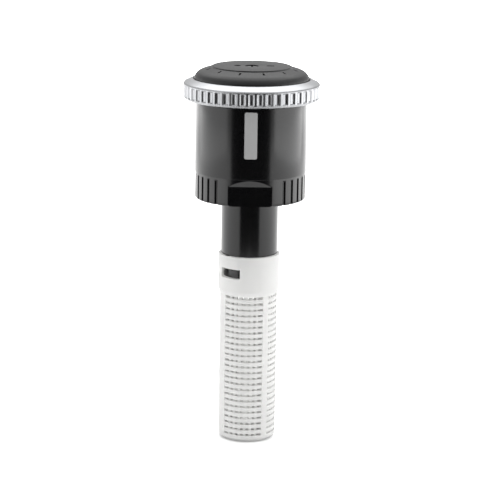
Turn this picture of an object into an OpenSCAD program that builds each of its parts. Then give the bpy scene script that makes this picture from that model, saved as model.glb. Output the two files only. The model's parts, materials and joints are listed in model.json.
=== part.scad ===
// Rotating multi-stream spray head for a pop-up sprinkler riser.
// Units are millimetres. The origin is on the axis at the bottom face of the housing, and +Z
// points up towards the cap. The index stripe and the front wrench flat face -Y.

/* [Housing] */
// Radius of the housing barrel
barrel_r = 11.75; // [11.65:0.05:11.85]
// Radius over the ribbed skirt
skirt_r = 11.6; // [11.5:0.02:11.62]
// Height of the ribbed skirt
skirt_h = 5.7; // [5:0.1:7]
// Height of the housing rim under the ring
barrel_h = 20.6; // [20.5:0.05:20.7]
// Distance of each wrench flat from the axis
flat_d = 10.69; // [10.4:0.01:10.9]
// Height of each wrench flat
flat_h = 4.15; // [3:0.05:4.2]
// Angle between two skirt grooves, in degrees
groove_pitch = 10.5; // [9:0.5:11]
// Width of the index stripe
stripe_w = 2.63; // [1.5:0.05:3.5]
// Crest radius of the riser thread
thread_minor_r = 7.48; // [7.4:0.02:7.6]
// Root radius of the riser thread
thread_major_r = 7.95; // [7.9:0.01:8]
// Pitch of the riser thread, 28 to the inch
thread_pitch = 0.907; // [0.85:0.001:1]

/* [Adjusting ring] */
// Outside radius of the metal ring
ring_r = 14.3; // [14:0.05:14.6]
// Bore radius of the metal ring
ring_bore_r = 12.2; // [12.18:0.01:12.3]
// Number of flutes round the ring
flute_count = 50; // [40:1:60]
// Radius of each flute
flute_r = 0.4; // [0.3:0.05:0.55]

/* [Cap] */
// Radius of the flat disc on the cap
cap_disc_r = 8.25; // [8:0.05:8.6]
// Radius over the cap's lip
cap_r = 12.03; // [11.9:0.01:12.1]
// Height of the top of the cap
cap_top = 27.85; // [27.7:0.05:28.2]

/* [Inlet tube and filter] */
// Outside radius of the inlet tube
tube_r = 6.0; // [5.9:0.05:6.05]
// Bore radius of the inlet tube
tube_bore_r = 4.5; // [4.45:0.05:4.6]
// Outside radius of the spigot inside the filter collar
spigot_r = 5.4; // [5.3:0.02:5.42]
// Outside radius of the filter collar
collar_r = 6.48; // [6.4:0.02:6.5]
// Height of the top of the filter collar
collar_top = -11.9; // [-12.1:0.05:-11.8]
// Outside radius of the filter cage
cage_r = 6.0; // [5.9:0.05:6.1]
// Height of the bottom of the filter
filter_bottom = -52.3; // [-53:0.1:-52]
// Number of ring bars in the cage
row_count = 26; // [10:1:26]
// Distance between two ring bars
row_pitch = 1.243; // [1.2:0.001:1.26]
// Height of each ring bar
row_h = 0.74; // [0.5:0.02:0.8]
// Number of gaps across the wide panels of the cage
wide_columns = 7; // [6:1:8]
// Number of gaps across the narrow panels of the cage
narrow_columns = 4; // [3:1:5]

/* [Shaft, spring and brake] */
// Radius of the shaft
shaft_r = 1.19; // [1.1:0.01:1.2]
// Mean radius of the return spring
spring_r = 2.45; // [2.4:0.05:2.5]
// Radius of the spring wire
wire_r = 0.3; // [0.2:0.05:0.3]
// Number of turns of the return spring
spring_turns = 8; // [5:1:9]
// Radius of the brake drum
drum_r = 5.2; // [4.5:0.1:5.3]

/* [Hidden] */
$fn = 96;

black = "#1b1c1d";
grey = "#8f9193";
steel = "#c9cbcd";
white = "#f1f1ee";
rubber = "#2c2c2c";
bush_tan = "#cdbb96";

eps = 0.01;
bore_r = 10.2;
web_bottom = 8.7;
web_top = 9.9;
core_base = 11.1;
core_top = 12.7;
hub_r = 2.9;
hub_top = 17.5;
hub_bottom = 9.0;
bush_r = 1.9;
lip_r = 3.2;
run = 0.05;
spigot_bottom = -19.0;
rib_r = 4.1;
rib_w = 1.2;
rib_count = 3;
seat_top = -8.3;
seat_bottom = -9.5;
cup_top = -5.5;
cup_bottom = -7.0;
nut_top = -14.0;
nut_disc_top = -17.0;
nut_bottom = -18.0;
drum_bottom = 21.1;
drum_top = 24.5;
cavity_r = 5.6;
cavity_floor = 21.0;
deflector_top = 24.6;
bearing_r = 2.2;
ring_bottom = 20.9;
ring_top = 25.25;
slot_top = -14.54;
slot_bottom = -16.62;
slot_left = -5.72;
slot_right = -1.87;
way_from = -66.6;
way_to = -45.1;
lug_from = -36.5;
lug_to = -21.5;
lug_r = 6.15;
cage_top = -20.2;
rail_from = 31;
rail_to = 45;
back_rail_from = 84;
back_rail_to = 127;
rail_bottom = -51.4;
rail_top = -20.4;
bar_r = 5.7;
bar_w = 0.56;
bar_bore_r = 4.85;

// Ring about Z between two radii and two heights.
module tube(outer, inner, low, high) {
    translate([0, 0, low])
        difference() {
            cylinder(r = outer, h = high - low);
            translate([0, 0, -1])
                cylinder(r = inner, h = high - low + 2);
        }
}

// Wedge with its tip on the axis, from one angle to another, counted from the front.
module wedge(from, to, radius, low, high) {
    steps = max(2, ceil((to - from) / 30));
    reach = radius * 1.6;
    arc = [for (i = [0:steps]) reach * [sin(from + (to - from) * i / steps),
                                       -cos(from + (to - from) * i / steps)]];
    translate([0, 0, low])
        linear_extrude(height = high - low)
            polygon(concat([[0, 0]], arc));
}

// The three keyways that a piece needs to slide past the ribs of the inlet tube.
module rib_notches(low, high, clearance) {
    for (i = [0:rib_count - 1])
        rotate([0, 0, i * 360 / rib_count])
            translate([rib_r - clearance, -rib_w / 2 - clearance, low - 1])
                cube([2, rib_w + 2 * clearance, high - low + 2]);
}

// Grooves that stand for the riser thread: one closed ring for each turn.
module thread_rings() {
    depth = thread_major_r - thread_minor_r;
    for (i = [1:8])
        translate([0, 0, i * thread_pitch])
            rotate_extrude()
                polygon([[thread_minor_r - 0.1, -0.36], [thread_minor_r + depth, -0.06],
                         [thread_minor_r + depth, 0.06], [thread_minor_r - 0.1, 0.36]]);
}

// Upright grooves on both sides of the skirt, with plain lands at the front and the back.
module skirt_grooves() {
    for (side = [0, 180])
        for (i = [0:10])
            rotate([0, 0, side + (i - 5) * groove_pitch])
                translate([skirt_r + 0.02, 0, -1])
                    cylinder(r = 0.36, h = skirt_h + 0.5);
}

// Wrench flats at the front and the back, each with a sloped top.
module wrench_flats() {
    for (side = [0, 180])
        rotate([0, 0, side])
            translate([-8, 0, 0])
                rotate([90, 0, 90])
                    linear_extrude(height = 16)
                        polygon([[-flat_d, -1], [-flat_d, flat_h],
                                 [-skirt_r - 0.1, skirt_h - 0.05],
                                 [-skirt_r - 2, skirt_h - 0.05],
                                 [-skirt_r - 2, -1]]);
}

module housing() {
    color(black)
        difference() {
            rotate_extrude()
                polygon([[thread_minor_r, 0], [skirt_r - 0.3, 0], [skirt_r, 0.3],
                         [skirt_r, skirt_h], [barrel_r, skirt_h], [barrel_r, barrel_h],
                         [bore_r, barrel_h], [bore_r, 18.05], [10.7, 18.05], [10.7, 17.35],
                         [bore_r, 17.35], [bore_r, web_top], [tube_r, web_top],
                         [tube_r, web_bottom], [thread_minor_r, web_bottom]]);
            thread_rings();
            skirt_grooves();
            wrench_flats();
            stripe_block(0);
        }
}

// Block for the index stripe: its pocket when proud is 0, the stripe when it is more.
module stripe_block(proud) {
    intersection() {
        translate([-stripe_w / 2, -14, 10.14])
            cube([stripe_w, 6, 9.68]);
        tube(proud > 0 ? barrel_r + proud : barrel_r + 1, barrel_r - 0.5, 9, 21);
    }
}

module index_stripe() {
    color(grey)
        stripe_block(0.06);
}

module inlet_tube() {
    color(black) {
        difference() {
            union() {
                tube(tube_r, tube_bore_r, collar_top + run, web_top + 0.6);
                tube(bore_r, tube_bore_r, web_top, core_base);
                tube(spigot_r, tube_bore_r, spigot_bottom, collar_top + run + 0.1);
                for (side = [0, 180])
                    intersection() {
                        tube(lug_r, spigot_r - 0.3, slot_bottom + 0.15, slot_top - 0.15);
                        rotate([0, 0, side])
                            wedge(lug_from, lug_to, lug_r, slot_bottom, slot_top);
                    }
            }
            translate([0, 0, core_base])
                cylinder(r = 12, h = 4);
        }
        for (i = [0:rib_count - 1])
            rotate([0, 0, i * 360 / rib_count])
                translate([rib_r, -rib_w / 2, spigot_bottom])
                    cube([tube_bore_r - rib_r + 0.2, rib_w, 8 - spigot_bottom]);
    }
}

// Short steps round an edge, which stand for the helical edge of the arc valve. They start at
// the height base and rise, or hang down when rise is negative.
module valve_ramp(outer, inner, base, rise) {
    steps = 12;
    for (i = [0:steps - 1]) {
        edge = base + rise * (i + 1) / steps;
        intersection() {
            tube(outer, inner, min(base, edge), max(base, edge));
            wedge(i * 360 / steps, (i + 1) * 360 / steps, outer, min(base, edge), max(base, edge));
        }
    }
}

module nozzle_core() {
    color(black)
        difference() {
            union() {
                tube(bore_r - 0.02, bush_r, core_base, core_top);
                tube(hub_r, bush_r, hub_bottom, hub_top - 0.9);
                valve_ramp(hub_r, bush_r, hub_top - 0.95, 0.95);
            }
            for (i = [0:8])
                rotate([0, 0, i * 40])
                    translate([3.75, 0, core_base - 1])
                        cylinder(r = 0.72, h = 4, $fn = 32);
        }
}

module guide_bush() {
    color(bush_tan)
        tube(bush_r, shaft_r + run, hub_bottom + 0.2, hub_top - 1);
}

module throttle_seat() {
    color(grey)
        difference() {
            translate([0, 0, seat_bottom])
                cylinder(r = tube_bore_r, h = seat_top - seat_bottom);
            translate([0, 0, seat_bottom - eps])
                cylinder(r = 2.7, h = 3);
            translate([0, 0, seat_bottom - eps])
                cylinder(r1 = 3.3, r2 = 2.7, h = 0.6);
            rib_notches(seat_bottom, seat_top, 0);
        }
}

module collar_snap_ring() {
    color(steel)
        difference() {
            tube(10.68, 9.6, 17.4, 18.0);
            translate([-1.2, 8, 17])
                cube([2.4, 4, 2]);
        }
}

module adjusting_ring() {
    color(steel)
        difference() {
            rotate_extrude()
                polygon([[ring_bore_r, ring_bottom], [ring_r - 0.5, ring_bottom],
                         [ring_r, ring_bottom + 0.5], [ring_r, ring_top - 1.15],
                         [ring_r - 0.2, ring_top - 0.85], [ring_bore_r + 0.2, ring_top],
                         [ring_bore_r, ring_top - 0.1]]);
            for (i = [0:flute_count - 1])
                rotate([0, 0, (i + 0.5) * 360 / flute_count])
                    translate([ring_r + 0.12, 0, ring_bottom + 0.55])
                        cylinder(r = flute_r + 0.08, h = 2.5, $fn = 32);
        }
}

module arc_collar() {
    color(black) {
        rotate_extrude()
            polygon([[8.0, 13.2], [9.95, 13.2], [9.95, 14.4], [8.9, 14.4], [8.9, 15.7],
                     [9.95, 15.7], [9.95, 17.2], [9.3, 17.2], [9.3, 21.0],
                     [ring_bore_r, 21.0], [ring_bore_r, 22.6], [11.9, 22.6],
                     [9.0, 20.45], [6.2, 18.6], [4.2, 17.3], [lip_r, 17.0],
                     [lip_r, 15.8], [4.2, 15.9], [6.2, 17.1], [8.0, 18.2]]);
        valve_ramp(4.0, lip_r, 16.3, -1.3);
    }
}

module arc_seal() {
    color(rubber)
        rotate_extrude()
            translate([9.56, 15.05])
                circle(r = 0.6, $fn = 32);
}

module spring_cup() {
    color(black)
        difference() {
            union() {
                tube(tube_bore_r - run, shaft_r + run, cup_bottom, cup_top);
                tube(1.95, shaft_r + run, cup_bottom, 3.4);
            }
            rib_notches(cup_bottom, cup_top, 0.1);
            for (i = [0:5])
                rotate([0, 0, i * 60 + 30])
                    translate([3.5, 0, cup_bottom - 1])
                        cylinder(r = 0.65, h = 4, $fn = 32);
        }
}

// Half of the spring wire at one height, drawn as the arc that the helix sweeps.
function wire_side(sign, pitch) = [
    for (i = [0:8])
        let (lift = wire_r * (sign > 0 ? 1 - i / 4 : i / 4 - 1),
             angle = 360 * lift / pitch,
             reach = spring_r + sign * sqrt(max(0, wire_r * wire_r - lift * lift)))
        [reach * cos(angle), reach * sin(angle)]
];

module return_spring() {
    low = cup_top + 0.02;
    height = hub_bottom - 0.02 - low;
    pitch = height / spring_turns;
    color(steel)
        translate([0, 0, low])
            linear_extrude(height = height, twist = -360 * spring_turns,
                           slices = 20 * spring_turns, $fn = 16)
                polygon(concat(wire_side(1, pitch), [for (i = [1:7]) wire_side(-1, pitch)[i]]));
}

module shaft() {
    color(steel)
        difference() {
            translate([0, 0, -19.5])
                cylinder(r = shaft_r, h = 47.1);
            translate([-0.25, -2, 26.8])
                cube([0.5, 4, 2]);
            tube(2, shaft_r - 0.2, cup_bottom - 0.6, cup_bottom - 0.1);
        }
}

module shaft_clip() {
    color(steel)
        difference() {
            tube(2.3, shaft_r - 0.19, cup_bottom - 0.58, cup_bottom - 0.12);
            translate([0, -0.7, cup_bottom - 2])
                cube([4, 1.4, 4]);
        }
}

module brake_drum() {
    color(white)
        difference() {
            tube(drum_r, shaft_r, drum_bottom, drum_top);
            tube(drum_r - 0.9, shaft_r + 1, drum_bottom + 1, drum_top + 1);
        }
}

module throttle_nut() {
    color(white)
        difference() {
            union() {
                translate([0, 0, nut_bottom])
                    cylinder(r = tube_bore_r - 0.15, h = nut_disc_top - nut_bottom);
                translate([0, 0, nut_disc_top - eps])
                    cylinder(r1 = 2.4, r2 = 1.8, h = nut_top - nut_disc_top);
            }
            translate([0, 0, nut_bottom - 1])
                cylinder(r = shaft_r + 0.03, h = 8);
            rib_notches(nut_bottom, nut_disc_top, 0.1);
            for (i = [0:5])
                rotate([0, 0, i * 60 + 30])
                    translate([3.4, 0, nut_bottom - 1])
                        cylinder(r = 0.7, h = 4, $fn = 32);
        }
}

module rotor_cap() {
    color(black)
        difference() {
            rotate_extrude()
                polygon([[2.2, deflector_top + 0.3], [5.5, deflector_top + 0.3],
                         [5.5, deflector_top], [cap_r - 0.3, deflector_top],
                         [cap_r, deflector_top + 0.3], [cap_r, 25.45], [11.66, 26.15],
                         [11.07, 26.75], [cap_disc_r + 0.25, cap_top - 0.25],
                         [cap_disc_r + 0.05, cap_top - 0.25], [cap_disc_r, cap_top],
                         [1.4, cap_top], [1.4, 26.3], [2.2, 26.3]]);
            cap_recesses();
        }
}

// The two key holes in the disc of the cap, and the shallow marks round its slope.
module cap_recesses() {
    translate([3.1, -0.45, cap_top - 1.7])
        cube([1.5, 0.9, 3]);
    translate([-3, 0, cap_top - 1.7])
        cylinder(r = 0.7, h = 3);
    for (i = [0:11])
        rotate([0, 0, i * 30 + 15])
            translate([8.9, -0.2, 27.15])
                cube([1.1, 0.4, 1]);
}

// The spray channels under the deflector, each a round cut that climbs to the rim.
module spray_channels() {
    for (i = [0:13])
        rotate([0, 0, i * 360 / 14])
            translate([3.0, 0, 17.75])
                rotate([0, 57.6, 0])
                    cylinder(r = 0.75, h = 14, $fn = 24);
}

module deflector() {
    color(black)
        difference() {
            rotate_extrude()
                polygon([[bearing_r, 18.0], [2.85, 18.0], [4.0, 18.2], [6.2, 19.4],
                         [9.0, 21.2], [11.3, 23.0], [11.3, deflector_top],
                         [cavity_r, deflector_top], [cavity_r, cavity_floor],
                         [bearing_r, cavity_floor]]);
            spray_channels();
        }
}

module upper_bearing() {
    color(bush_tan)
        tube(bearing_r, shaft_r + run, deflector_top + 0.3, 26.3);
}

module lower_bearing() {
    color(bush_tan)
        tube(bearing_r, shaft_r + run, 19.7, cavity_floor);
}

module shaft_seal() {
    color(rubber)
        tube(bearing_r, shaft_r + run, 18.8, 19.7);
}

module seal_retainer() {
    color(steel)
        tube(bearing_r, shaft_r + 0.25, 18.1, 18.8);
}

// One bayonet window, cut straight along Y, and the inner way that lets a lug reach it from the
// collar's top.
module bayonet_cut() {
    intersection() {
        tube(8, 5, slot_bottom, slot_top);
        translate([slot_left, -8, slot_bottom - 1])
            cube([slot_right - slot_left, 7.6, slot_top - slot_bottom + 2]);
    }
    intersection() {
        tube(lug_r + 0.06, 5, slot_bottom, collar_top + 1);
        wedge(way_from, way_to, 8, slot_bottom, collar_top + 1);
    }
}

module filter_basket() {
    color(white) {
        difference() {
            rotate_extrude()
                polygon([[spigot_r + run, collar_top], [collar_r - 0.1, collar_top],
                         [collar_r, collar_top - 0.1], [collar_r, -19.5], [cage_r, -20.5],
                         [bar_bore_r, -20.5], [bar_bore_r, -19.4], [spigot_r + run, -19.1]]);
            for (side = [0, 180])
                rotate([0, 0, side])
                    bayonet_cut();
        }
        for (i = [1:row_count - 1])
            tube(cage_r, bar_r - 0.1, cage_top - i * row_pitch - row_h / 2,
                 cage_top - i * row_pitch + row_h / 2);
        for (side = [0, 180])
            rotate([0, 0, side]) {
                panel_bars(back_rail_to - 180, rail_from, wide_columns);
                panel_bars(rail_to, back_rail_from, narrow_columns);
                rail(rail_from, rail_to);
                rail(back_rail_from, back_rail_to);
            }
        tube(cage_r - 0.2, bar_bore_r, -51.9, -51.0);
        tube(cage_r - 0.2, 0.9, filter_bottom, -51.4);
    }
}

// Inner bars of one panel, between two rails.
module panel_bars(from, to, columns) {
    for (i = [1:columns - 1])
        rotate([0, 0, from + (to - from) * i / columns - 90])
            translate([bar_bore_r, -bar_w / 2, rail_bottom])
                cube([bar_r - bar_bore_r, bar_w, rail_top - rail_bottom]);
}

// One rail of the cage, a little proud of the ring bars.
module rail(from, to) {
    intersection() {
        tube(cage_r + 0.08, bar_bore_r, rail_bottom, rail_top);
        wedge(from, to, cage_r, rail_bottom, rail_top);
    }
}

housing();
index_stripe();
inlet_tube();
nozzle_core();
guide_bush();
throttle_seat();
collar_snap_ring();
adjusting_ring();
arc_collar();
arc_seal();
spring_cup();
return_spring();
shaft();
shaft_clip();
brake_drum();
throttle_nut();
rotor_cap();
deflector();
upper_bearing();
lower_bearing();
shaft_seal();
seal_retainer();
filter_basket();
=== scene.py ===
"""Rotating multi-stream spray head for a pop-up sprinkler, finished for display.

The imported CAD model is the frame. The pieces that show are modelled again here in finer detail, each
on the body that it moves with, and every other CAD node keeps its shape and gets a finish.
"""

from __future__ import annotations

import json
import logging
import math
from dataclasses import dataclass
from enum import Enum

import bmesh
import bpy
from mathutils import Matrix, Vector

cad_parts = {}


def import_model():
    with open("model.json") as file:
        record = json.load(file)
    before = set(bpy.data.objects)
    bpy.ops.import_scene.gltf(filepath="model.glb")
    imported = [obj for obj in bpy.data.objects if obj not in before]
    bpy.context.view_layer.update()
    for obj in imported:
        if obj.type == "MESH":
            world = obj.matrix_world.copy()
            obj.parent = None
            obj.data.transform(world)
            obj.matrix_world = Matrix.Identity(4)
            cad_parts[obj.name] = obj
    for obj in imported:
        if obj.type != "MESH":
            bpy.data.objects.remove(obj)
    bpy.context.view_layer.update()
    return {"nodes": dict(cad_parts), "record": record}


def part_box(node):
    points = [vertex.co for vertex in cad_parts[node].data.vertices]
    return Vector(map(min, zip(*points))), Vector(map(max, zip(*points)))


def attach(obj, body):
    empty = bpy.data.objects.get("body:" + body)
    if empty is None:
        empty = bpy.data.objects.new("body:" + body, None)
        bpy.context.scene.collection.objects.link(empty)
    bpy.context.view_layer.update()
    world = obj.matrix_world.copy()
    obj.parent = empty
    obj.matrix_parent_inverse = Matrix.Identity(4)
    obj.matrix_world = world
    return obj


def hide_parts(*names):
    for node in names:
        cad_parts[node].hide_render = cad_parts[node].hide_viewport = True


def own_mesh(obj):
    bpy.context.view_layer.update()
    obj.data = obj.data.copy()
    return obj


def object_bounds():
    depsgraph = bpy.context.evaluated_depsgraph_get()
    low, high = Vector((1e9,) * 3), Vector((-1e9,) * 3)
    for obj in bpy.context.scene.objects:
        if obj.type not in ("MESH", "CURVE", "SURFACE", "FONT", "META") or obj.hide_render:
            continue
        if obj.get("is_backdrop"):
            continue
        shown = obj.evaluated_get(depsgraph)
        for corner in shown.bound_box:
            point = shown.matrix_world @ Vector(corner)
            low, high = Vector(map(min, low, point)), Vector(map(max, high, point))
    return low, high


LOG = logging.getLogger("spray_head")
MM = 0.001
MERGE_MM = 0.0005

# A corner of a turned section: radius, height and rounding, in millimetres.
Corner = tuple[float, float, float]


class Body(Enum):
    """The bodies that carry the pieces modelled here, by their names in the record."""

    HOUSING = "housing"
    ARC_ADJUSTER = "arc_adjuster"
    CARRIAGE = "carriage"
    ROTOR = "rotor"
    FILTER = "filter"


# --------------------------------------------------------------------------------------------------
# Colour and node helpers
# --------------------------------------------------------------------------------------------------


def linear(hex_colour: str) -> tuple[float, float, float, float]:
    """Turn an sRGB hex colour into linear RGBA.

    Args:
        hex_colour: Colour such as "#1b1c1d".

    Returns:
        Red, green, blue and alpha in linear light.
    """
    parts = [int(hex_colour[i : i + 2], 16) / 255 for i in (1, 3, 5)]
    light = [c / 12.92 if c <= 0.04045 else ((c + 0.055) / 1.055) ** 2.4 for c in parts]
    return (light[0], light[1], light[2], 1.0)


def add_node(tree: bpy.types.NodeTree, kind: str, values: dict | None = None,
             links: dict | None = None, **settings: object) -> bpy.types.Node:
    """Add one shader node, set its sockets and settings, and link its inputs.

    Args:
        tree: Node tree that takes the node.
        kind: Node type, such as "ShaderNodeBump".
        values: Input socket name or index to its value.
        links: Input socket name or index to the output socket that feeds it.
        **settings: Attributes of the node itself.

    Returns:
        The new node.
    """
    node = tree.nodes.new(kind)
    for name, value in settings.items():
        setattr(node, name, value)
    for name, value in (values or {}).items():
        node.inputs[name].default_value = value
    for name, socket in (links or {}).items():
        tree.links.new(socket, node.inputs[name])
    return node


def new_material(name: str) -> tuple[bpy.types.Material, bpy.types.NodeTree, bpy.types.NodeSocket]:
    """Start a node material.

    Args:
        name: Name of the material.

    Returns:
        The material, its empty node tree and the surface socket of its output.
    """
    material = bpy.data.materials.new(name)
    material.use_nodes = True
    tree = material.node_tree
    tree.nodes.clear()
    output = tree.nodes.new("ShaderNodeOutputMaterial")
    return material, tree, output.inputs["Surface"]


# --------------------------------------------------------------------------------------------------
# Finishes
# --------------------------------------------------------------------------------------------------


@dataclass(frozen=True)
class MouldedPlastic:
    """Injection-moulded plastic: even colour, fine tool texture and a soft skin gloss."""

    name: str
    colour: str
    shade: str
    roughness: float
    roughness_spread: float
    specular: float
    grain_mm: float
    grain_depth_mm: float
    flow_mm: float
    translucency: float = 0.0

    def material(self) -> bpy.types.Material:
        """Build the plastic.

        Returns:
            Material with flow marks in its colour, and tool grain in its bump and roughness.
        """
        material, tree, surface = new_material(self.name)
        place = add_node(tree, "ShaderNodeTexCoord")
        # The melt's flow leaves very broad, faint bands of shade.
        flow = add_node(tree, "ShaderNodeTexNoise", {"Scale": 1 / (self.flow_mm * MM), "Detail": 3.0},
                        {"Vector": place.outputs["Object"]})
        colour = add_node(tree, "ShaderNodeMix", {6: linear(self.shade), 7: linear(self.colour)},
                          {0: flow.outputs["Fac"]}, data_type="RGBA")
        # The mould's polished steel prints a fine pebble that breaks up the reflections.
        grain = add_node(tree, "ShaderNodeTexNoise",
                         {"Scale": 1 / (self.grain_mm * MM), "Detail": 4.0, "Roughness": 0.55},
                         {"Vector": place.outputs["Object"]})
        gloss = add_node(tree, "ShaderNodeMapRange",
                         {"To Min": self.roughness - self.roughness_spread,
                          "To Max": self.roughness + self.roughness_spread},
                         {"Value": grain.outputs["Fac"]})
        bump = add_node(tree, "ShaderNodeBump",
                        {"Strength": 1.0, "Distance": self.grain_depth_mm * MM},
                        {"Height": grain.outputs["Fac"]})
        shader = add_node(tree, "ShaderNodeBsdfPrincipled",
                          {"Specular IOR Level": self.specular, "IOR": 1.48},
                          {"Base Color": colour.outputs[2], "Roughness": gloss.outputs["Result"],
                           "Normal": bump.outputs["Normal"]})
        skin = shader.outputs["BSDF"]
        if self.translucency > 0:
            # Thin walls of this plastic pass light from one side to the other.
            through = add_node(tree, "ShaderNodeBsdfTranslucent",
                               links={"Color": colour.outputs[2], "Normal": bump.outputs["Normal"]})
            mixed = add_node(tree, "ShaderNodeMixShader", {0: self.translucency},
                             {1: skin, 2: through.outputs["BSDF"]})
            skin = mixed.outputs["Shader"]
        tree.links.new(skin, surface)
        return material


@dataclass(frozen=True)
class TurnedMetal:
    """Metal cut on a lathe: fine rings round the Z axis under a bright polish."""

    name: str
    colour: str
    stain: str
    roughness: float
    line_mm: float
    line_depth_mm: float

    def material(self) -> bpy.types.Material:
        """Build the metal.

        Returns:
            Material with tool lines that follow radius and height, and faint handling marks.
        """
        material, tree, surface = new_material(self.name)
        place = add_node(tree, "ShaderNodeTexCoord")
        # Radius and height make one coordinate, so the tool lines run round the axis.
        flat = add_node(tree, "ShaderNodeVectorMath", {1: (1.0, 1.0, 0.0)},
                        {0: place.outputs["Object"]}, operation="MULTIPLY")
        radius = add_node(tree, "ShaderNodeVectorMath", links={0: flat.outputs[0]},
                          operation="LENGTH")
        height = add_node(tree, "ShaderNodeSeparateXYZ", links={0: place.outputs["Object"]})
        along = add_node(tree, "ShaderNodeMath",
                         links={0: radius.outputs["Value"], 1: height.outputs["Z"]},
                         operation="SUBTRACT")
        lines = add_node(tree, "ShaderNodeTexNoise",
                         {"Scale": 1 / (self.line_mm * MM), "Detail": 3.0},
                         {"W": along.outputs["Value"]}, noise_dimensions="1D")
        marks = add_node(tree, "ShaderNodeTexNoise", {"Scale": 1 / (2.5 * MM), "Detail": 5.0},
                         {"Vector": place.outputs["Object"]})
        colour = add_node(tree, "ShaderNodeMix", {6: linear(self.colour), 7: linear(self.stain)},
                          {0: marks.outputs["Fac"]}, data_type="RGBA")
        gloss = add_node(tree, "ShaderNodeMapRange",
                         {"To Min": self.roughness * 0.8, "To Max": self.roughness * 1.25},
                         {"Value": marks.outputs["Fac"]})
        bump = add_node(tree, "ShaderNodeBump",
                        {"Strength": 1.0, "Distance": self.line_depth_mm * MM},
                        {"Height": lines.outputs["Fac"]})
        shader = add_node(tree, "ShaderNodeBsdfPrincipled", {"Metallic": 1.0},
                          {"Base Color": colour.outputs[2], "Roughness": gloss.outputs["Result"],
                           "Normal": bump.outputs["Normal"]})
        tree.links.new(shader.outputs["BSDF"], surface)
        return material


@dataclass(frozen=True)
class MouldedRubber:
    """Nitrile rubber: nearly black, matt, with a dusting that catches the light."""

    name: str
    colour: str
    dust: str
    roughness: float

    def material(self) -> bpy.types.Material:
        """Build the rubber.

        Returns:
            Matt material with patches of pale dust.
        """
        material, tree, surface = new_material(self.name)
        place = add_node(tree, "ShaderNodeTexCoord")
        bloom = add_node(tree, "ShaderNodeTexNoise", {"Scale": 1 / (0.8 * MM), "Detail": 6.0},
                         {"Vector": place.outputs["Object"]})
        colour = add_node(tree, "ShaderNodeMix", {6: linear(self.colour), 7: linear(self.dust)},
                          {0: bloom.outputs["Fac"]}, data_type="RGBA")
        bump = add_node(tree, "ShaderNodeBump", {"Strength": 1.0, "Distance": 0.01 * MM},
                        {"Height": bloom.outputs["Fac"]})
        shader = add_node(tree, "ShaderNodeBsdfPrincipled",
                          {"Roughness": self.roughness, "Sheen Weight": 0.15},
                          {"Base Color": colour.outputs[2], "Normal": bump.outputs["Normal"]})
        tree.links.new(shader.outputs["BSDF"], surface)
        return material


Finish = MouldedPlastic | TurnedMetal | MouldedRubber
Materials = dict[Finish, bpy.types.Material]

# Acetal, moulded black: deep colour with a wet-looking skin.
BLACK_ACETAL = MouldedPlastic("black_acetal", "#0a0a0b", "#070708", 0.18, 0.03, 0.5,
                              0.35, 0.002, 9.0)
# The same acetal with a fine tool texture, for the top of the cap.
TEXTURED_ACETAL = MouldedPlastic("textured_acetal", "#1a1a1b", "#151516", 0.44, 0.05, 0.34,
                                 0.18, 0.006, 9.0)
# Polypropylene, moulded white: slightly translucent and waxy.
WHITE_POLYPROPYLENE = MouldedPlastic("white_polypropylene", "#f1f1f0", "#ededec", 0.4, 0.05, 0.45,
                                     0.3, 0.003, 6.0, 0.5)
# ABS, moulded light grey: dull and even.
GREY_ABS = MouldedPlastic("grey_abs", "#929292", "#8b8b8b", 0.5, 0.05, 0.5, 0.25, 0.003, 5.0)
# Unfilled bearing plastic: warm, matt and slightly mottled.
BEARING_PLASTIC = MouldedPlastic("bearing_plastic", "#cdbb96", "#c2ae86", 0.5, 0.05, 0.4,
                                 0.4, 0.003, 3.0)
# Nickel-plated ring: bright, with the lathe's lines still under the plate.
NICKEL_PLATE = TurnedMetal("nickel_plate", "#a6a7a9", "#9b9c9e", 0.34, 0.09, 0.0015)
# Stainless bar: greyer, with coarser lines.
STAINLESS_STEEL = TurnedMetal("stainless_steel", "#c4c5c6", "#b4b5b6", 0.3, 0.06, 0.0015)
# Nitrile rubber seals.
NITRILE_RUBBER = MouldedRubber("nitrile_rubber", "#161616", "#232323", 0.75)

CAD_FINISHES = {
    "nozzle_core": BLACK_ACETAL,
    "guide_bush": BEARING_PLASTIC,
    "throttle_seat": GREY_ABS,
    "collar_snap_ring": STAINLESS_STEEL,
    "arc_collar": BLACK_ACETAL,
    "arc_seal": NITRILE_RUBBER,
    "spring_cup": BLACK_ACETAL,
    "shaft": STAINLESS_STEEL,
    "shaft_clip": STAINLESS_STEEL,
    "brake_drum": WHITE_POLYPROPYLENE,
    "throttle_nut": WHITE_POLYPROPYLENE,
    "upper_bearing": BEARING_PLASTIC,
    "lower_bearing": BEARING_PLASTIC,
    "shaft_seal": NITRILE_RUBBER,
    "seal_retainer": STAINLESS_STEEL,
}


# --------------------------------------------------------------------------------------------------
# Modelling helpers: every shape is made in millimetres and scaled to metres at the end
# --------------------------------------------------------------------------------------------------


def rounded_section(bm: bmesh.types.BMesh, outline: list[Corner], step: float = 0.0) -> None:
    """Draw a closed section in the XZ plane and round its corners.

    Args:
        bm: Empty mesh that takes the section.
        outline: Corners in order.
        step: Longest edge that may stay whole, or 0 to leave edges alone.
    """
    corners = [bm.verts.new((radius, 0.0, height)) for radius, height, _ in outline]
    bm.faces.new(corners)
    for rounding in sorted({corner[2] for corner in outline if corner[2] > 0}, reverse=True):
        picked = [v for v, corner in zip(corners, outline) if corner[2] == rounding]
        bmesh.ops.bevel(bm, geom=picked, offset=rounding, offset_type="OFFSET", segments=3,
                        profile=0.5, affect="VERTICES", material=-1, clamp_overlap=True)
    bmesh.ops.delete(bm, geom=bm.faces[:], context="FACES_ONLY")
    if step > 0:
        for edge in bm.edges[:]:
            cuts = int(edge.calc_length() / step)
            if cuts > 0:
                bmesh.ops.subdivide_edges(bm, edges=[edge], cuts=cuts)


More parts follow.
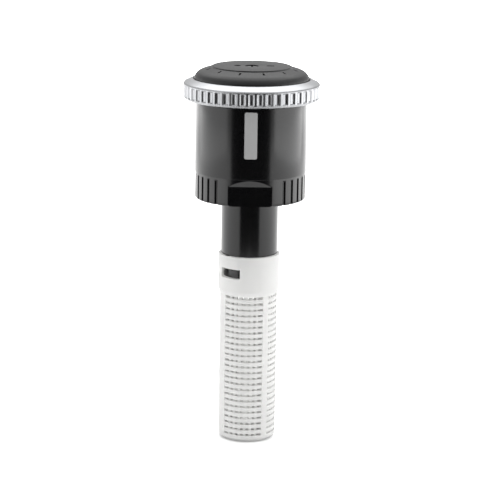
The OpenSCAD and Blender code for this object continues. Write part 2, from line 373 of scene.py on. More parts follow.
def close_up(bm: bmesh.types.BMesh) -> None:
    """Merge doubles, fill open ends and turn the faces outwards.

    Args:
        bm: Mesh to close.
    """
    bmesh.ops.remove_doubles(bm, verts=bm.verts[:], dist=MERGE_MM)
    open_edges = [edge for edge in bm.edges if edge.is_boundary]
    if open_edges:
        bmesh.ops.holes_fill(bm, edges=open_edges, sides=0)
    bmesh.ops.recalc_face_normals(bm, faces=bm.faces[:])


def turn(outline: list[Corner], steps: int = 192, step: float = 0.0,
         start: float = 0.0, sweep: float = 360.0) -> bmesh.types.BMesh:
    """Turn a section about Z.

    Args:
        outline: Corners of the section.
        steps: Number of steps of the turn.
        step: Longest edge of the section that may stay whole, or 0.
        start: Angle where the turn starts, in degrees from +X.
        sweep: Angle of the turn, in degrees.

    Returns:
        Closed mesh of the turned solid.
    """
    bm = bmesh.new()
    rounded_section(bm, outline, step)
    bmesh.ops.rotate(bm, verts=bm.verts[:], cent=(0, 0, 0),
                     matrix=Matrix.Rotation(math.radians(start), 3, "Z"))
    bmesh.ops.spin(bm, geom=bm.verts[:] + bm.edges[:], cent=(0, 0, 0), axis=(0, 0, 1),
                   dvec=(0, 0, 0), angle=math.radians(sweep), steps=steps,
                   use_merge=sweep == 360.0)
    close_up(bm)
    return bm


def coil(outline: list[Corner], turns: float, rise: float, steps_a_turn: int) -> bmesh.types.BMesh:
    """Turn a section about Z while it climbs.

    Args:
        outline: Corners of the section.
        turns: Number of turns.
        rise: Climb for each turn.
        steps_a_turn: Steps in one turn.

    Returns:
        Closed mesh of the helical solid.
    """
    bm = bmesh.new()
    rounded_section(bm, outline)
    steps = round(turns * steps_a_turn)
    bmesh.ops.spin(bm, geom=bm.verts[:] + bm.edges[:], cent=(0, 0, 0), axis=(0, 0, 1),
                   dvec=(0, 0, rise * turns / steps), angle=math.tau * turns, steps=steps)
    close_up(bm)
    return bm


def block(low: tuple[float, float, float], high: tuple[float, float, float],
          bevel: float = 0.0) -> bmesh.types.BMesh:
    """Make a box between two corners.

    Args:
        low: Lowest corner.
        high: Highest corner.
        bevel: Width of its rounded edges, or 0.

    Returns:
        Mesh of the box.
    """
    bm = bmesh.new()
    size = Vector(high) - Vector(low)
    middle = (Vector(high) + Vector(low)) / 2
    bmesh.ops.create_cube(bm, size=1.0)
    bmesh.ops.scale(bm, vec=size, verts=bm.verts[:])
    bmesh.ops.translate(bm, vec=middle, verts=bm.verts[:])
    if bevel > 0:
        bmesh.ops.bevel(bm, geom=bm.edges[:], offset=bevel, offset_type="OFFSET", segments=2,
                        profile=0.5, affect="EDGES", material=-1, clamp_overlap=True)
    return bm


def pin(radius: float, low: float, high: float, segments: int = 48) -> bmesh.types.BMesh:
    """Make an upright cylinder on the Z axis.

    Args:
        radius: Its radius.
        low: Height of its foot.
        high: Height of its top.
        segments: Number of sides.

    Returns:
        Mesh of the cylinder.
    """
    bm = bmesh.new()
    bmesh.ops.create_cone(bm, cap_ends=True, segments=segments, radius1=radius, radius2=radius,
                          depth=high - low)
    bmesh.ops.translate(bm, vec=(0, 0, (low + high) / 2), verts=bm.verts[:])
    return bm


def moved(bm: bmesh.types.BMesh, shift: tuple[float, float, float] = (0, 0, 0),
          angle: float = 0.0) -> bmesh.types.BMesh:
    """Shift a mesh, then turn it about Z.

    Args:
        bm: Mesh to move.
        shift: Distance along X, Y and Z.
        angle: Turn about Z in degrees, after the shift.

    Returns:
        The same mesh.
    """
    bmesh.ops.translate(bm, vec=shift, verts=bm.verts[:])
    bmesh.ops.rotate(bm, verts=bm.verts[:], cent=(0, 0, 0),
                     matrix=Matrix.Rotation(math.radians(angle), 3, "Z"))
    return bm


def joined(parts: list[bmesh.types.BMesh]) -> bmesh.types.BMesh:
    """Put several meshes into one.

    Args:
        parts: Meshes to join, which are freed.

    Returns:
        New mesh that holds them all.
    """
    whole = bmesh.new()
    for part in parts:
        carrier = bpy.data.meshes.new("carrier")
        part.to_mesh(carrier)
        part.free()
        whole.from_mesh(carrier)
        bpy.data.meshes.remove(carrier)
    return whole


def as_object(bm: bmesh.types.BMesh, name: str) -> bpy.types.Object:
    """Turn a mesh in millimetres into an object in metres.

    Args:
        bm: Mesh to use, which is freed.
        name: Name of the object.

    Returns:
        Object at the origin, linked to the scene.
    """
    bmesh.ops.scale(bm, vec=(MM, MM, MM), verts=bm.verts[:])
    mesh = bpy.data.meshes.new(name)
    bm.to_mesh(mesh)
    bm.free()
    piece = bpy.data.objects.new(name, mesh)
    bpy.context.scene.collection.objects.link(piece)
    return piece


def carve(piece: bpy.types.Object, cutters: list[bmesh.types.BMesh]) -> None:
    """Cut shapes out of a piece.

    Args:
        piece: Object that loses material.
        cutters: Closed meshes in millimetres, which are used up.
    """
    cutter = as_object(joined(cutters), "cutter")
    cut = piece.modifiers.new("cut", "BOOLEAN")
    cut.operation = "DIFFERENCE"
    cut.solver = "EXACT"
    cut.use_self = True
    cut.object = cutter
    graph = bpy.context.evaluated_depsgraph_get()
    carved = bpy.data.meshes.new_from_object(piece.evaluated_get(graph))
    piece.modifiers.clear()
    before = piece.data
    piece.data = carved
    bpy.data.meshes.remove(before)
    bpy.data.objects.remove(cutter)


def finish_piece(piece: bpy.types.Object, body: Body, node: str,
                 material: bpy.types.Material, crease: float = 32.0) -> None:
    """Shade a piece, give it its material and put it on its body in place of a CAD node.

    Args:
        piece: Finished object.
        body: Body that it moves with.
        node: CAD node that it stands for, which is hidden.
        material: Material for all of it.
        crease: Angle in degrees past which an edge stays sharp.
    """
    mesh = piece.data
    mesh.materials.clear()
    mesh.materials.append(material)
    mesh.polygons.foreach_set("use_smooth", [True] * len(mesh.polygons))
    mesh.polygons.foreach_set("material_index", [0] * len(mesh.polygons))
    mesh.set_sharp_from_angle(angle=math.radians(crease))
    mesh.update()
    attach(piece, body.value)
    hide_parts(node)
    LOG.info("%s on %s: %d faces", piece.name, body.value, len(mesh.polygons))


def smoothstep(value: float) -> float:
    """Ease a value from 0 to 1.

    Args:
        value: Any number; 0 and below give 0, 1 and above give 1.

    Returns:
        The eased value.
    """
    bounded = min(1.0, max(0.0, value))
    return bounded * bounded * (3 - 2 * bounded)


def rows(first: float, step: float, count: int) -> list[float]:
    """List evenly spaced heights.

    Args:
        first: Lowest height.
        step: Distance from one to the next.
        count: How many there are.

    Returns:
        The heights, from the lowest up.
    """
    return [first + step * row for row in range(count)]


def span(node: str) -> tuple[float, float, float]:
    """Measure a CAD node.

    Args:
        node: Its name.

    Returns:
        Its largest radius, its foot and its top, in millimetres.
    """
    low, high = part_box(node)
    return max(high.x, -low.x, high.y, -low.y) / MM, low.z / MM, high.z / MM


# --------------------------------------------------------------------------------------------------
# Sub-assemblies
# --------------------------------------------------------------------------------------------------


@dataclass
class HousingAssembly:
    """Housing, index stripe and inlet tube: what is screwed to the riser."""

    skirt_r: float = 11.6
    tube_r: float = 6.0
    bore_r: float = 10.2
    skirt_h: float = 5.7
    flat_d: float = 10.69
    flat_h: float = 4.15
    flat_slope_h: float = 1.5
    flat_run_out: float = 0.1
    skirt_wall: float = 1.2
    skirt_skin: float = 0.4
    groove_pitch: float = 10.5
    groove_count: int = 11
    groove_r: float = 0.36
    groove_end: float = 0.4
    groove_end_run: float = 0.25
    thread_crest_r: float = 7.48
    thread_root_r: float = 7.95
    thread_pitch: float = 0.907
    thread_turns: float = 8.4
    thread_foot: float = 0.5
    thread_root_half: float = 0.38
    thread_crest_half: float = 0.08
    web_bottom: float = 8.7
    web_top: float = 9.9
    stripe_t: float = 0.5
    stripe_corner: float = 0.35
    stripe_facets: int = 10
    tube_bore_r: float = 4.5
    spigot_r: float = 5.4
    shoulder: float = -11.85
    lug_r: float = 6.15
    lug_foot: float = -16.47
    lug_top: float = -14.69
    lug_from: float = -36.5
    lug_sweep: float = 15.0
    rib_count: int = 3
    rib_w: float = 1.2
    steps: int = 720

    def build(self, materials: Materials) -> None:
        """Build the three pieces.

        Args:
            materials: Finish to its material.
        """
        finish_piece(self.housing(), Body.HOUSING, "housing", materials[BLACK_ACETAL], 40.0)
        finish_piece(self.stripe(), Body.HOUSING, "index_stripe", materials[GREY_ABS])
        finish_piece(self.tube(), Body.HOUSING, "inlet_tube", materials[BLACK_ACETAL])

    def groove_depth(self, x: float, y: float) -> float:
        """Depth of the skirt's grooves at one place round it.

        Args:
            x: Distance along X.
            y: Distance along Y.

        Returns:
            Depth in millimetres, 0 on the lands.
        """
        side = math.degrees(math.atan2(y, abs(x)))
        number = round(side / self.groove_pitch)
        if abs(number) > self.groove_count // 2:
            return 0.0
        away = math.radians(side - number * self.groove_pitch) * math.hypot(x, y)
        return math.sqrt(max(0.0, self.groove_r**2 - away**2))

    def housing(self) -> bpy.types.Object:
        """Turn the shell, press in its grooves and wrench flats, and wind its thread.

        Returns:
            The housing.
        """
        barrel_r, foot, rim = span("housing")
        # Rows are close together where the flats slope out and the grooves end.
        heights = rows(0.7, 0.5, 7) + rows(4.1, 0.1, 16)
        wall = [(self.skirt_r, height, 0.0) for height in heights]
        outline = [
            (self.thread_root_r, foot, 0.25), (self.skirt_r, foot, 0.3), *wall,
            (self.skirt_r, self.skirt_h, 0.0), (barrel_r, self.skirt_h, 0.06),
            (barrel_r, rim, 0.15), (self.bore_r, rim, 0.1),
            (self.bore_r, self.web_top, 0.0), (self.tube_r, self.web_top, 0.0),
            (self.tube_r, self.web_bottom, 0.1), (self.thread_root_r, self.web_bottom, 0.0),
        ]
        shell = turn(outline, steps=self.steps)
        for v in shell.verts:
            self.shape_skirt(v)
        # The ridge's root lies a little inside the wall, so that the two join.
        root_r = self.thread_root_r + 0.05
        ridge = coil([(root_r, self.thread_root_half, 0.0),
                      (self.thread_crest_r, self.thread_crest_half, 0.0),
                      (self.thread_crest_r, -self.thread_crest_half, 0.0),
                      (root_r, -self.thread_root_half, 0.0)],
                     turns=self.thread_turns, rise=self.thread_pitch, steps_a_turn=96)
        return as_object(joined([shell, moved(ridge, (0, 0, self.thread_foot))]), "housing_shell")

    def shape_skirt(self, v: bmesh.types.BMVert) -> None:
        """Press one vertex of the skirt into a groove or onto a wrench flat.

        Args:
            v: Vertex of the shell.
        """
        radius = math.hypot(v.co.x, v.co.y)
        if radius < self.skirt_r - self.skirt_wall or v.co.z > self.skirt_h - 0.01:
            return
        fade = smoothstep((self.skirt_h - self.groove_end - v.co.z) / self.groove_end_run)
        if radius > self.skirt_r - self.skirt_skin:
            depth = self.groove_depth(v.co.x, v.co.y) * fade
            v.co.xy *= (radius - depth) / radius
        climb = max(0.0, v.co.z - self.flat_h) / self.flat_slope_h
        plane = self.flat_d + climb * (self.skirt_r + self.flat_run_out - self.flat_d)
        v.co.y = max(-plane, min(plane, v.co.y))

    def stripe(self) -> bpy.types.Object:
        """Bend a thin plate with rounded corners round the front of the barrel.

        Returns:
            The index stripe.
        """
        low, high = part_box("index_stripe")
        outer = -low.y / MM
        half = high.x / MM
        bm = block((-half, -outer, low.z / MM), (half, -outer + self.stripe_t, high.z / MM))
        upright = [e for e in bm.edges if abs(e.verts[0].co.y - e.verts[1].co.y) > 0.1]
        bmesh.ops.bevel(bm, geom=upright, offset=self.stripe_corner, offset_type="OFFSET",
                        segments=4, profile=0.5, affect="EDGES", material=-1, clamp_overlap=True)
        a_side = self.stripe_facets // 2
        for cut in range(1 - a_side, a_side):
            bmesh.ops.bisect_plane(bm, geom=bm.verts[:] + bm.edges[:] + bm.faces[:],
                                   plane_co=(cut * half / a_side, 0, 0), plane_no=(1, 0, 0))
        for v in bm.verts:
            reach = -v.co.y
            v.co.y = -math.sqrt(reach**2 - v.co.x**2)
        bmesh.ops.recalc_face_normals(bm, faces=bm.faces[:])
        return as_object(bm, "index_stripe_inlay")

    def tube(self) -> bpy.types.Object:
        """Turn the inlet tube with its flange, and add its lugs and inner ribs.

        Returns:
            The inlet tube.
        """
        flange_r, foot, top = span("inlet_tube")
        parts = [turn([(self.tube_bore_r, foot, 0.2), (self.spigot_r, foot, 0.2),
                       (self.spigot_r, self.shoulder, 0.0), (self.tube_r, self.shoulder, 0.1),
                       (self.tube_r, self.web_top, 0.0), (flange_r, self.web_top, 0.05),
                       (flange_r, top, 0.05), (self.tube_bore_r, top, 0.1)])]
        root_r = self.spigot_r - 0.2
        for side in (0, 180):
            parts.append(turn([(root_r, self.lug_foot, 0.0), (self.lug_r, self.lug_foot, 0.12),
                               (self.lug_r, self.lug_top, 0.12), (root_r, self.lug_top, 0.0)],
                              steps=24, start=side - 90 + self.lug_from, sweep=self.lug_sweep))
        for rib in range(self.rib_count):
            bar = block((self.tube_bore_r - 0.4, -self.rib_w / 2, foot),
                        (self.tube_bore_r + 0.1, self.rib_w / 2, 8.0), 0.08)
            parts.append(moved(bar, angle=rib * 360 / self.rib_count))
        return as_object(joined(parts), "inlet_tube_neck")


@dataclass
class RingAssembly:
    """The bright ring that sets the arc of the spray."""

    bore_r: float = 12.2
    flute_count: int = 50
    steps_a_flute: int = 16
    flute_depth: float = 0.32
    flute_share: float = 0.64
    flute_low: float = 21.4
    flute_high: float = 24.0
    flute_end_run: float = 0.25
    end_row_step: float = 0.08
    end_rows: int = 6

    def build(self, materials: Materials) -> None:
        """Build the ring.

        Args:
            materials: Finish to its material.
        """
        finish_piece(self.ring(), Body.ARC_ADJUSTER, "adjusting_ring",
                     materials[NICKEL_PLATE], 50.0)

    def ring(self) -> bpy.types.Object:
        """Turn the ring and press the flutes into its edge.

        Returns:
            The adjusting ring.
        """
        outer, low, high = span("adjusting_ring")
        # Rows are close together where the flutes end, and two more divide their straight middle.
        heights = (rows(21.45, self.end_row_step, self.end_rows) + [22.3, 23.2]
                   + rows(23.55, self.end_row_step, self.end_rows))
        outline = [
            (self.bore_r, low, 0.1), (outer - 0.5, low, 0.15), (outer, low + 0.5, 0.1),
            *[(outer, height, 0.0) for height in heights],
            (outer, high - 1.15, 0.08), (outer - 0.2, high - 0.85, 0.1),
            (self.bore_r + 0.2, high, 0.08), (self.bore_r, high - 0.1, 0.04),
        ]
        bm = turn(outline, steps=self.flute_count * self.steps_a_flute)
        for v in bm.verts:
            radius = math.hypot(v.co.x, v.co.y)
            if radius > outer - 0.05 and low + 0.4 < v.co.z < high - 1.1:
                depth = self.depth_at(math.atan2(v.co.y, v.co.x), v.co.z)
                v.co.xy *= (radius - depth) / radius
        return as_object(bm, "knurled_ring")

    def depth_at(self, angle: float, height: float) -> float:
        """Depth of the flutes at one place on the ring's edge.

        Args:
            angle: Angle round the ring, in radians.
            height: Height on the ring.

        Returns:
            Depth in millimetres.
        """
        place = angle / math.tau * self.flute_count % 1.0
        across = abs(place - 0.5) * 2 / self.flute_share
        if across >= 1.0:
            return 0.0
        ends = min(smoothstep((height - self.flute_low) / self.flute_end_run),
                   smoothstep((self.flute_high - height) / self.flute_end_run))
        return self.flute_depth * math.sqrt(1 - across**2) * ends


@dataclass
class RotorAssembly:
    """Cap and deflector: the part that spins in the stream."""

    cap_r: float = 12.03
    disc_r: float = 8.25
    bore_r: float = 2.2
    opening_r: float = 1.4
    opening_foot: float = 26.3
    join: float = 24.6
    spigot_r: float = 5.5
    spigot_h: float = 0.3
    key_r: float = 0.7
    key_place: float = 3.0
    key_depth: float = 1.7
    key_slot: tuple[float, float, float] = (3.1, 4.6, 0.9)
    mark_count: int = 12
    mark_reach: tuple[float, float] = (8.9, 10.0)
    mark_w: float = 0.4
    mark_foot: float = 27.15
    channel_count: int = 14
    channel_from: float = 3.4
    channel_top: float = 23.3
    channel_h: float = 0.75
    channel_half: float = 0.85
    cone_foot: float = 17.0
    cone_rise: float = 0.68
    curl_from: float = 3.0
    curl_a_mm: float = 0.035

    def build(self, materials: Materials) -> None:
        """Build the cap and the deflector.

        Args:
            materials: Finish to its material.
        """
        finish_piece(self.cap(), Body.ROTOR, "rotor_cap", materials[TEXTURED_ACETAL], 30.0)
        finish_piece(self.deflector(), Body.ROTOR, "deflector", materials[BLACK_ACETAL], 30.0)

    def cap(self) -> bpy.types.Object:
        """Turn the cap, and cut its key holes and the shallow marks round its slope.

        Returns:
            The cap.
        """
        _, _, top = span("rotor_cap")
        seat = self.join + self.spigot_h
        piece = as_object(turn([
            (self.bore_r, seat, 0.0), (self.spigot_r, seat, 0.0), (self.spigot_r, self.join, 0.0),
            (self.cap_r - 0.3, self.join, 0.1), (self.cap_r, self.join + 0.3, 0.1),
            (self.cap_r, 25.45, 0.25), (11.66, 26.15, 0.3), (11.07, 26.75, 0.5),
            (self.disc_r + 0.25, top - 0.25, 0.08), (self.disc_r + 0.05, top - 0.25, 0.04),
            (self.disc_r, top, 0.08), (self.opening_r, top, 0.12),
            (self.opening_r, self.opening_foot, 0.0), (self.bore_r, self.opening_foot, 0.0),
        ], steps=256), "cap_shell")
        near, far, width = self.key_slot
        above = top + 1
        cutters = [block((near, -width / 2, top - self.key_depth), (far, width / 2, above)),
                   moved(pin(self.key_r, top - self.key_depth, above), (-self.key_place, 0, 0))]
        near, far = self.mark_reach
        spacing = 360 / self.mark_count
        for mark in range(self.mark_count):
            groove = block((near, -self.mark_w / 2, self.mark_foot), (far, self.mark_w / 2, above))
            cutters.append(moved(groove, angle=(mark + 0.5) * spacing))
        carve(piece, cutters)
        return piece

    def deflector(self) -> bpy.types.Object:
        """Turn the deflector and press its spray channels into its underside.

        Returns:
            The deflector.
        """
        _, foot, top = span("deflector")
        bm = turn([(self.bore_r, foot, 0.05), (2.85, foot, 0.05), (4.0, 18.2, 0.0),
                   (6.2, 19.4, 0.0), (9.0, 21.2, 0.0), (11.3, 23.0, 0.1), (11.3, top, 0.05),
                   (5.6, top, 0.0), (5.6, 21.0, 0.0), (self.bore_r, 21.0, 0.0)],
                  steps=self.channel_count * 24, step=0.6)
        for v in bm.verts:
            v.co.z += self.channel_depth(v.co)
        return as_object(bm, "spray_deflector")

    def channel_depth(self, place: Vector) -> float:
        """Height that a spray channel is cut up into the deflector.

        Args:
            place: Position of a vertex.

        Returns:
            Height in millimetres, 0 away from the underside.
        """
        radius = math.hypot(place.x, place.y)
        underside = self.cone_foot + max(0.0, radius - self.bore_r) * self.cone_rise
        if radius < self.channel_from or place.z > min(underside + 0.9, self.channel_top):
            return 0.0
        # The channels curve, so that the water's push turns the rotor.
        curl = (radius - self.curl_from) * self.curl_a_mm
        turned = (math.atan2(place.y, place.x) - curl) / math.tau * self.channel_count % 1.0
        sector = math.tau / self.channel_count * radius
        across = abs(turned - 0.5) * sector / self.channel_half
        if across >= 1.0:
            return 0.0
        start = smoothstep((radius - self.channel_from) / 0.8)
        return self.channel_h * math.sqrt(1 - across**2) * start


@dataclass
class FilterAssembly:
    """The white basket that hangs from the inlet tube."""

    collar_r: float = 6.48
    collar_bore_r: float = 5.45
    collar_foot: float = -19.5
    cone_foot: float = -20.5
    window_left: float = -5.72
    window_right: float = -1.87
    window_foot: float = -16.62
    window_top: float = -14.54
    way_r: float = 6.21
    way_foot: float = -16.5
    way_from: float = -66.6
    way_sweep: float = 21.5
    cage_r: float = 6.0
    bar_r: float = 5.7
    bar_w: float = 0.56
    bar_bore_r: float = 4.85
    bars_top: float = -20.4
    bars_foot: float = -51.4
    floor_top: float = -51.0
    drain_r: float = 0.9
    rail_proud: float = 0.07
    cage_top: float = -20.2
    row_pitch: float = 1.243
    row_count: int = 26
    row_h: float = 0.82
    wide_columns: int = 7
    narrow_columns: int = 4
    rail_from: float = 31.0
    rail_to: float = 45.0
    back_rail_from: float = 84.0
    back_rail_to: float = 127.0

    def build(self, materials: Materials) -> None:
        """Build the basket.

        Args:
            materials: Finish to its material.
        """
        finish_piece(self.basket(), Body.FILTER, "filter_basket", materials[WHITE_POLYPROPYLENE])

    def collar(self) -> bmesh.types.BMesh:
        """Turn the collar and cut its bayonet windows.

        Returns:
            Mesh of the collar, in millimetres.
        """
        _, _, top = span("filter_basket")
        piece = as_object(turn([
            (self.collar_bore_r, top, 0.1), (self.collar_r, top, 0.12),
            (self.collar_r, self.collar_foot, 0.15), (self.cage_r, self.cone_foot, 0.1),
            (self.bar_bore_r, self.cone_foot, 0.0), (self.bar_bore_r, -19.4, 0.0),
            (self.collar_bore_r, -19.1, 0.0),
        ], steps=240), "collar")
        cutters = []
        for side in (0, 180):
            # The windows are cut straight along Y, as the mould's side core leaves them.
            window = block((self.window_left, -8.0, self.window_foot),
                           (self.window_right, -0.4, self.window_top))
            cutters.append(moved(window, angle=side))
            # The way lets a lug reach its window from the collar's top.
            cutters.append(turn([(5.0, self.way_foot, 0), (self.way_r, self.way_foot, 0),
                                 (self.way_r, top + 1, 0), (5.0, top + 1, 0)], steps=16,
                                start=side - 90 + self.way_from, sweep=self.way_sweep))
        carve(piece, cutters)
        bm = bmesh.new()
        bm.from_mesh(piece.data)
        bmesh.ops.scale(bm, vec=(1 / MM,) * 3, verts=bm.verts[:])
        bpy.data.objects.remove(piece)
        return bm

    def basket(self) -> bpy.types.Object:
        """Join the collar, the ring bars, the inner bars, the rails and the floor.

        Returns:
            The basket.
        """
        _, foot, _ = span("filter_basket")
        parts = [self.collar()]
        for row in range(1, self.row_count):
            middle = self.cage_top - row * self.row_pitch
            low, high = middle - self.row_h / 2, middle + self.row_h / 2
            parts.append(turn([(self.bar_r - 0.1, low, 0.0), (self.cage_r, low, 0.12),
                               (self.cage_r, high, 0.12), (self.bar_r - 0.1, high, 0.0)],
                              steps=120))
        for side in (0, 180):
            parts += self.bars(side + self.back_rail_to - 180, side + self.rail_from,
                               self.wide_columns)
            parts += self.bars(side + self.rail_to, side + self.back_rail_from,
                               self.narrow_columns)
            parts.append(self.rail(side + self.rail_from, side + self.rail_to))
            parts.append(self.rail(side + self.back_rail_from, side + self.back_rail_to))
        parts.append(turn([(self.drain_r, foot, 0.1), (self.cage_r - 0.55, foot, 0.3),
                           (self.cage_r - 0.3, self.floor_top, 0.0),
                           (self.bar_bore_r, self.floor_top, 0.0),
                           (self.bar_bore_r, self.bars_foot, 0.0),
                           (self.drain_r, self.bars_foot, 0.1)], steps=120))
        return as_object(joined(parts), "filter_cage")

    def bars(self, start: float, stop: float, columns: int) -> list[bmesh.types.BMesh]:
        """Make the inner bars of one panel.

        Args:
            start: Angle where the panel starts, in degrees from the front towards +X.
            stop: Angle where it stops.
            columns: Number of gaps across it.

        Returns:
            One mesh for each bar.
        """
        low = (self.bar_bore_r, -self.bar_w / 2, self.bars_foot)
        high = (self.bar_r, self.bar_w / 2, self.bars_top)
        return [moved(block(low, high, 0.06), angle=start + (stop - start) * bar / columns - 90)
                for bar in range(1, columns)]

    def rail(self, start: float, stop: float) -> bmesh.types.BMesh:
        """Make one rail of the cage.

        Args:
            start: Angle where the rail starts, in degrees from the front towards +X.
            stop: Angle where it stops.

        Returns:
            Mesh of the rail, with rounded ends to its outer face.
        """
        outer = self.cage_r + self.rail_proud
        return turn([(self.bar_bore_r, self.bars_foot, 0.0), (self.cage_r, self.bars_foot, 0.0),
                     (outer, self.bars_foot + 0.5, 0.05), (outer, self.bars_top, 0.0),
                     (self.bar_bore_r, self.bars_top, 0.0)],
                    steps=16, start=start - 90, sweep=stop - start)


@dataclass
class SpringAssembly:
    """The return spring under the hub."""

    travel: float
    mean_r: float = 2.45
    wire_r: float = 0.3
    turns: float = 8.0
    wire_sides: int = 12

    def build(self, materials: Materials) -> None:
        """Build the spring.

        Args:
            materials: Finish to its material.
        """
        _, low, high = span("return_spring")
        angles = [math.tau * side / self.wire_sides for side in range(self.wire_sides)]
        circle = [(self.mean_r + self.wire_r * math.cos(angle), self.wire_r * math.sin(angle), 0.0)
                  for angle in angles]
        rise = (high - low - 2 * self.wire_r) / self.turns
        bm = moved(coil(circle, self.turns, rise, 48), (0, 0, low + self.wire_r))
        piece = as_object(bm, "return_spring_coil")
        finish_piece(piece, Body.CARRIAGE, "return_spring", materials[STAINLESS_STEEL])
        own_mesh(piece)


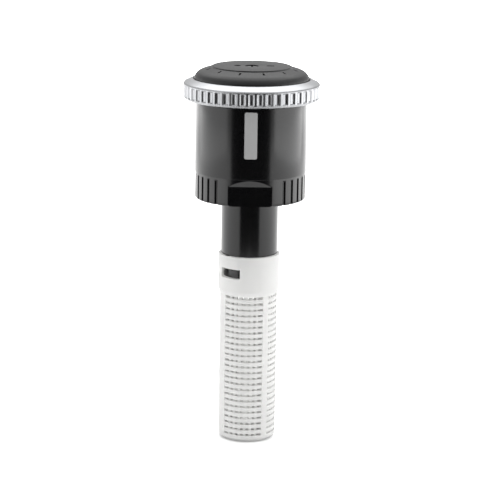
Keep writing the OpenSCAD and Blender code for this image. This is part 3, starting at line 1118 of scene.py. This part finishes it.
@dataclass
class Studio:
    """Floor, lights and camera."""

    camera_distance: float = 0.476
    camera_elevation: float = 12.6
    camera_roll: float = 0.88
    focal_mm: float = 161.6
    aim_height: float = -11.5
    shift: float = 0.0017
    floor_r: float = 3.0
    side_box_x: float = 0.22
    side_box_size: tuple[float, float] = (0.36, 0.17)
    card_near_r: float = 0.085
    card_far_r: float = 0.62
    card_half_angle: int = 40
    card_h: float = 0.45

    def build(self) -> None:
        """Set up the whole studio."""
        self.floor()
        self.lights()
        self.camera()
        bpy.context.scene.view_settings.view_transform = "Standard"

    def floor(self) -> None:
        """Lay a pale floor under the filter's foot."""
        low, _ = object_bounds()
        bm = bmesh.new()
        bmesh.ops.create_circle(bm, cap_ends=True, segments=128, radius=self.floor_r)
        bmesh.ops.translate(bm, vec=(0, 0, low.z), verts=bm.verts[:])
        mesh = bpy.data.meshes.new("floor")
        bm.to_mesh(mesh)
        bm.free()
        floor = bpy.data.objects.new("floor", mesh)
        bpy.context.scene.collection.objects.link(floor)
        material, tree, surface = new_material("pale_floor")
        shader = add_node(tree, "ShaderNodeBsdfPrincipled",
                          {"Base Color": linear("#f4f4f4"), "Roughness": 0.9,
                           "Specular IOR Level": 0.0})
        tree.links.new(shader.outputs["BSDF"], surface)
        mesh.materials.append(material)
        floor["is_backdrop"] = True

    def softbox(self, name: str, place: tuple[float, float, float], aim: tuple[float, float, float],
                size: tuple[float, float], radiance: float, spread: float = 180.0) -> None:
        """Hang a soft box.

        Args:
            name: Name of the light.
            place: Where it hangs.
            aim: Point that it faces.
            size: Its width and height.
            radiance: How bright its face is, where 1 is white.
            spread: Angle of its beam, in degrees.
        """
        light = bpy.data.lights.new(name, "AREA")
        light.shape = "RECTANGLE"
        light.size, light.size_y = size
        light.energy = radiance * math.pi * size[0] * size[1]
        light.spread = math.radians(spread)
        lamp = bpy.data.objects.new(name, light)
        lamp.location = place
        lamp.rotation_euler = (Vector(place) - Vector(aim)).to_track_quat("Z", "Y").to_euler()
        lamp.visible_camera = False
        bpy.context.scene.collection.objects.link(lamp)

    @staticmethod
    def on_circle(radius: float, side: float, height: float) -> Vector:
        """Find a place on a level circle round the object.

        Args:
            radius: Radius of the circle.
            side: Angle from the front towards +X, in degrees.
            height: Height of the circle.

        Returns:
            The place, in metres.
        """
        angle = math.radians(side)
        return Vector((radius * math.sin(angle), -radius * math.cos(angle), height))

    def dark_card(self) -> None:
        """Lay a black card on the floor in front and stand one up behind the camera.

        Together they keep the middle of the barrel dark between the two side boxes.
        """
        low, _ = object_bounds()
        height = low.z + 0.0005
        half = self.card_half_angle
        bm = bmesh.new()
        rim = [self.on_circle(self.card_far_r, side, height)
               for side in range(-half, half + 1, half // 2)]
        near = [self.on_circle(self.card_near_r, side, height) for side in (half, 0, -half)]
        bm.faces.new([bm.verts.new(place) for place in rim + near])
        up = Vector((0, 0, self.card_h))
        for left, right in zip(rim[:-1], rim[1:]):
            bm.faces.new([bm.verts.new(place) for place in (left, right, right + up, left + up)])
        mesh = bpy.data.meshes.new("dark_card")
        bm.to_mesh(mesh)
        bm.free()
        card = bpy.data.objects.new("dark_card", mesh)
        # Only reflections see the card, so it throws no shadow and takes no light from the floor.
        card.visible_camera = False
        card.visible_diffuse = False
        card.visible_transmission = False
        card.visible_shadow = False
        bpy.context.scene.collection.objects.link(card)
        material, tree, surface = new_material("black_felt")
        shader = add_node(tree, "ShaderNodeBsdfPrincipled",
                          {"Base Color": linear("#060606"), "Roughness": 1.0,
                           "Specular IOR Level": 0.0})
        tree.links.new(shader.outputs["BSDF"], surface)
        mesh.materials.append(material)
        card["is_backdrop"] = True

    def lights(self) -> None:
        """Hang soft boxes at both sides, over the back and overhead, in a pale room."""
        self.dark_card()
        aim = (0, -0.02, 0.005)
        self.softbox("left_box", (-self.side_box_x, *aim[1:]), aim, self.side_box_size, 1.15)
        self.softbox("right_box", (self.side_box_x, *aim[1:]), aim, self.side_box_size, 2.0)
        self.softbox("back_box", (0, 1.15, 0.6), (0, 1.15, 0), (3.4, 1.5), 2.6, 80)
        self.softbox("top_box", (0, 0.25, 0.7), (0, 0, 0), (1.2, 1.0), 2.3)
        world = bpy.data.worlds.new("room")
        world.use_nodes = True
        world.node_tree.nodes["Background"].inputs["Color"].default_value = linear("#ffffff")
        world.node_tree.nodes["Background"].inputs["Strength"].default_value = 0.8
        bpy.context.scene.world = world

    def camera(self) -> None:
        """Place the camera a little above the front, with a long lens."""
        data = bpy.data.cameras.new("camera")
        data.lens = self.focal_mm
        data.sensor_width = 36.0
        data.clip_start = 0.01
        data.shift_x = self.shift
        camera = bpy.data.objects.new("camera", data)
        tilt = math.radians(self.camera_elevation)
        back = Vector((0.0, -math.cos(tilt), math.sin(tilt)))
        camera.location = Vector((0, 0, self.aim_height * MM)) + back * self.camera_distance
        facing = back.to_track_quat("Z", "Y").to_matrix()
        roll = Matrix.Rotation(math.radians(self.camera_roll), 3, "Z")
        camera.rotation_euler = (facing @ roll).to_euler()
        bpy.context.scene.collection.objects.link(camera)
        bpy.context.scene.camera = camera


def dress_cad(nodes: dict[str, bpy.types.Object], materials: Materials) -> None:
    """Give each carried-over CAD node its finish.

    Args:
        nodes: CAD node name to its object.
        materials: Finish to its material.
    """
    for name, finish in CAD_FINISHES.items():
        for slot in nodes[name].material_slots:
            slot.material = materials[finish]
        LOG.info("%s keeps its CAD shape, in %s", name, finish.name)


def main() -> None:
    """Load the frame, build every sub-assembly in order, and set up the studio."""
    logging.basicConfig(level=logging.INFO, format="%(message)s")
    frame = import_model()
    finishes = [BLACK_ACETAL, TEXTURED_ACETAL, WHITE_POLYPROPYLENE, GREY_ABS, BEARING_PLASTIC,
                NICKEL_PLATE, STAINLESS_STEEL, NITRILE_RUBBER]
    materials = {finish: finish.material() for finish in finishes}
    dress_cad(frame["nodes"], materials)
    joints = {joint["name"]: joint for joint in frame["record"]["behaviour"]["joints"]}
    travel = joints["pop_up"]["range_m"][1] / MM
    for assembly in (HousingAssembly(), RingAssembly(), RotorAssembly(), FilterAssembly(),
                     SpringAssembly(travel=travel)):
        assembly.build(materials)
    Studio().build()


if __name__ == "__main__":
    main()
